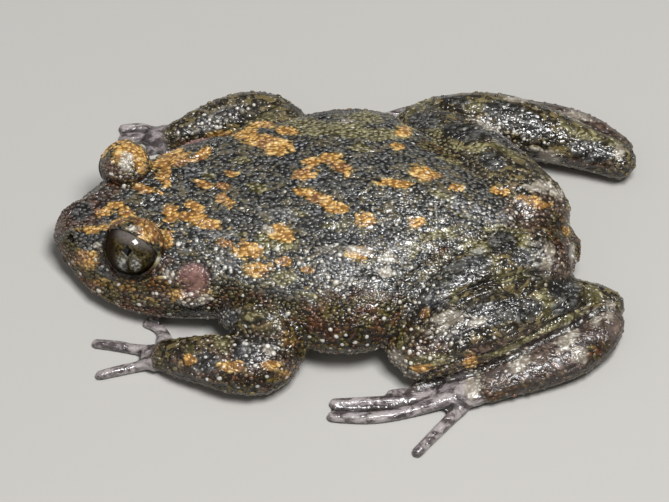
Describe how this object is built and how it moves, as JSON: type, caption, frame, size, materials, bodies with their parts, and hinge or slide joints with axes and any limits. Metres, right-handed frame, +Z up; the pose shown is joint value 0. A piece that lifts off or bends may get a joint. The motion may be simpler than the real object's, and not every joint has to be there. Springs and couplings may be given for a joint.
{
  "type": "kirthisinghes rock frog",
  "caption": "Flat-bodied rock frog resting on its belly with folded limbs, a broad head, raised eyes and long webbed toes, as a still life-size figure.",
  "frame": {"origin": "on the ground, under the middle of the frog's bounding box, which is on the flat of its belly", "axes": "-X towards the snout, +Y towards the frog's right side, +Z up"},
  "size_m": [0.0494, 0.0384, 0.0096],
  "materials": {
    "skin": "wet, glossy and finely wrinkled",
    "eye": "polished"
  },
  "bodies": {
    "root": {"head": "skin", "torso": "skin", "eye_left": "eye", "eye_right": "eye", "upper_arm_left": "skin", "forearm_left": "skin", "hand_left": "skin", "upper_arm_right": "skin", "forearm_right": "skin", "hand_right": "skin", "thigh_left": "skin", "shank_left": "skin", "tarsus_left": "skin", "foot_left": "skin", "outer_toe_left": "skin", "thigh_right": "skin", "shank_right": "skin", "tarsus_right": "skin", "foot_right": "skin", "outer_toe_right": "skin"}
  },
  "joints": []
}
